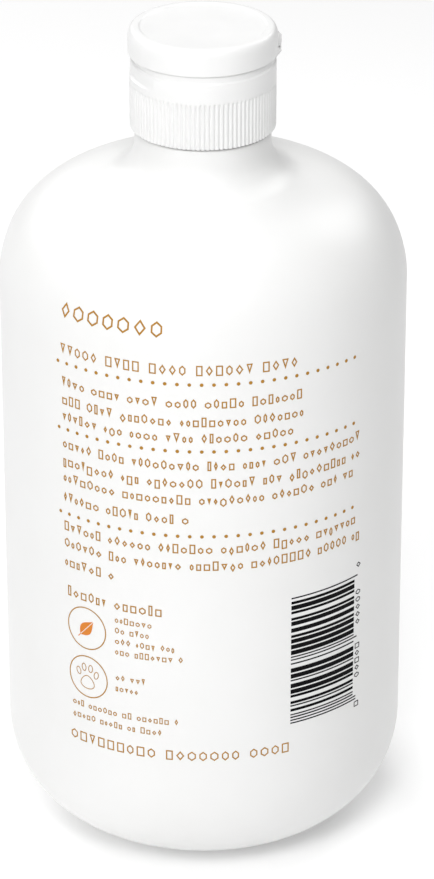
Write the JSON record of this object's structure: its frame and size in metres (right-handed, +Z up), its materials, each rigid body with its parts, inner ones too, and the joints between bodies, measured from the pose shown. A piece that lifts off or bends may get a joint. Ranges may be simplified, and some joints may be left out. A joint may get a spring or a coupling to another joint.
{
  "type": "shampoo bottle",
  "caption": "Round-shouldered plastic shampoo bottle with a threaded neck and a ribbed screw cap whose flip-top lid opens on a living hinge.",
  "frame": {"origin": "centre of the base, on the surface the bottle stands on", "axes": "+Z up along the bottle's axis, -Y towards the printed side"},
  "size_m": [0.075, 0.075, 0.1584],
  "materials": {
    "bottle_plastic": "satin blow-moulded HDPE",
    "cap_plastic": "satin injection-moulded PP",
    "seal_foam": "closed-cell foam",
    "copper_ink": "screen-printed ink",
    "black_ink": "screen-printed ink"
  },
  "bodies": {
    "bottle": {"bottle_body": "bottle_plastic"},
    "seal": {"seal_ring": "seal_foam"},
    "cap": {"cap_base": "cap_plastic", "hinge_film": "cap_plastic"},
    "lid": {"flip_lid": "cap_plastic"}
  },
  "joints": [
    {"name": "cap_rise", "type": "slide", "parent": "bottle", "child": "seal", "axis": [0, 0, 1], "range_m": [0, 0.00397]},
    {"name": "cap_turn", "type": "hinge", "parent": "seal", "child": "cap", "pos_m": [0, 0, 0.1535], "axis": [0, 0, 1], "range_deg": [0, 450]},
    {"name": "lid_flip", "type": "hinge", "parent": "cap", "child": "lid", "pos_m": [0.01299, 0.00473, 0.1535], "axis": [-0.342, 0.9397, 0], "range_deg": [0, 140], "deforming": ["hinge_film"]}
  ],
  "couplings": [
    {"joint": "cap_rise", "follows": "cap_turn", "m_per_rad": 0.00050532}
  ]
}
